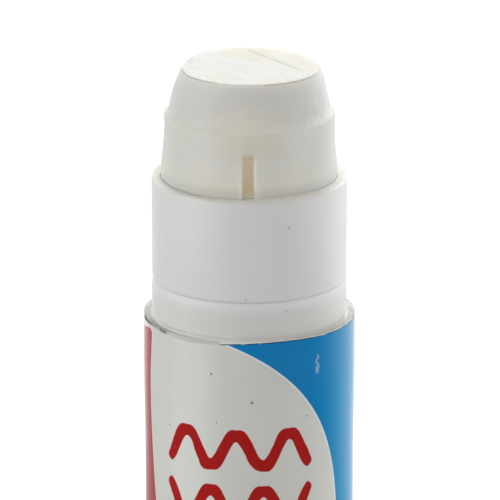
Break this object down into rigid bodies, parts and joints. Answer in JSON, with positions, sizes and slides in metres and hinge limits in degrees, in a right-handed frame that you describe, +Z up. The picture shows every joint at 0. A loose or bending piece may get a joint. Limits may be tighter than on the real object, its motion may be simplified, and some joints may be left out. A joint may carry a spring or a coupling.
{
  "type": "glue stick",
  "caption": "Twist-up glue stick, open, with its cap beside it: turning the knob winds a solid cylinder of glue out of the labelled barrel.",
  "frame": {"origin": "middle of the flat underside of the knob, on the stick's axis", "axes": "+Z up along the stick, towards the glue; -Y towards the front of the label; the cap stands on the +X side"},
  "size_m": [0.0571, 0.0311, 0.1037],
  "materials": {
    "white_plastic": "white moulded polypropylene, soft satin",
    "label_film": "glossy printed film, white with a blue sweep and a red stripe",
    "glue_mass": "off-white, waxy and slightly translucent"
  },
  "bodies": {
    "barrel": {"barrel": "white_plastic", "label_sleeve": "label_film"},
    "knob": {"knob": "white_plastic", "spindle": "white_plastic"},
    "carrier": {"carrier": "white_plastic", "glue": "glue_mass"},
    "cap": {"cap": "white_plastic"}
  },
  "joints": [
    {"name": "knob_turn", "type": "hinge", "parent": "barrel", "child": "knob", "pos_m": [0, 0, 0], "axis": [0, 0, 1], "range_deg": [-973, 3961]},
    {"name": "carrier_slide", "type": "slide", "parent": "barrel", "child": "carrier", "axis": [0, 0, 1], "range_m": [-0.0108, 0.044]},
    {"name": "cap_lift", "type": "slide", "parent": "barrel", "child": "cap", "axis": [0, 0, 1], "range_m": [0, 0.11]}
  ],
  "couplings": [
    {"joint": "knob_turn", "follows": "carrier_slide", "rad_per_m": 1570.8}
  ]
}
